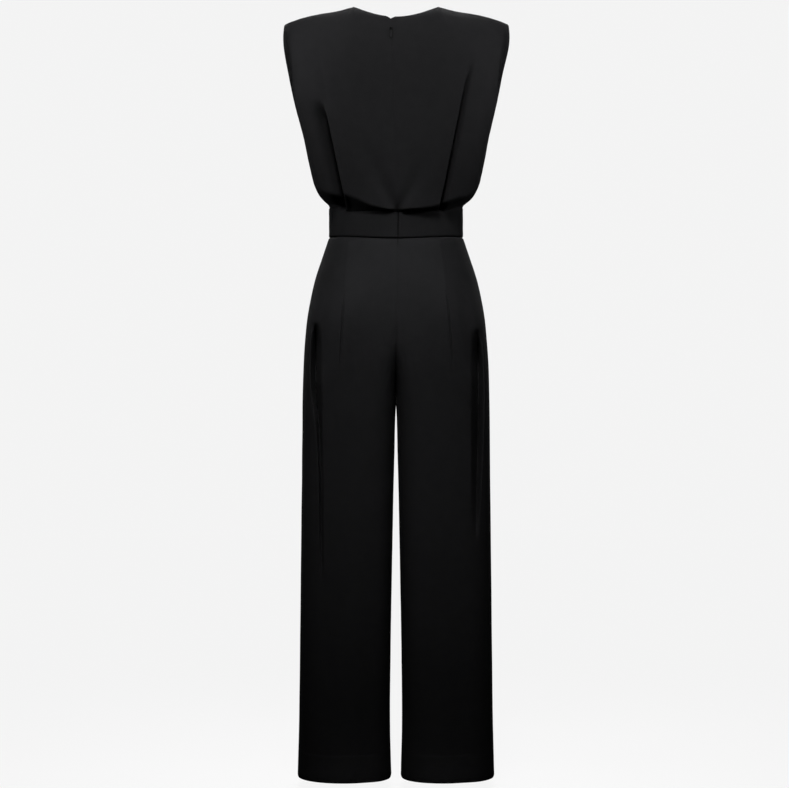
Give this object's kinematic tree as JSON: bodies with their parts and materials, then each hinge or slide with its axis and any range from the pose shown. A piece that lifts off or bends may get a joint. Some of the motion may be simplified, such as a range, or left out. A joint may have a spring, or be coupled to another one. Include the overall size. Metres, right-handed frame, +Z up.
{
  "type": "sleeveless wide-leg jumpsuit",
  "caption": "Sleeveless jumpsuit in its worn, hollow form: padded shoulders, a bodice bloused over a wide waistband, straight wide legs and a back zip.",
  "frame": {"origin": "midway between the inner ends of the two shoulder seams, at shoulder height, where the wearer's shoulders carry the garment", "axes": "+Z up along the wearer's height, +X to the wearer's left, -Y to the wearer's front"},
  "size_m": [0.4339, 0.2516, 1.4816],
  "materials": {
    "crepe": "matt black crepe with a faint soft sheen",
    "zip_tape": "matt black woven tape",
    "zip_metal": "black enamel, semi-gloss"
  },
  "bodies": {
    "garment": {"bodice_front": "crepe", "bodice_back_left": "crepe", "bodice_back_right": "crepe", "waistband_front": "crepe", "waistband_back_left": "crepe", "waistband_back_right": "crepe", "trouser_front_left": "crepe", "trouser_front_right": "crepe", "trouser_back_left": "crepe", "trouser_back_right": "crepe", "zip_tape": "zip_tape", "zip_slider": "zip_metal"},
    "pull": {"zip_pull": "zip_metal"}
  },
  "joints": [
    {"name": "pull_hinge", "type": "hinge", "parent": "garment", "child": "pull", "pos_m": [0.00959, 0.08159, -0.05121], "axis": [1, 0, 0], "range_deg": [0, 180]}
  ]
}
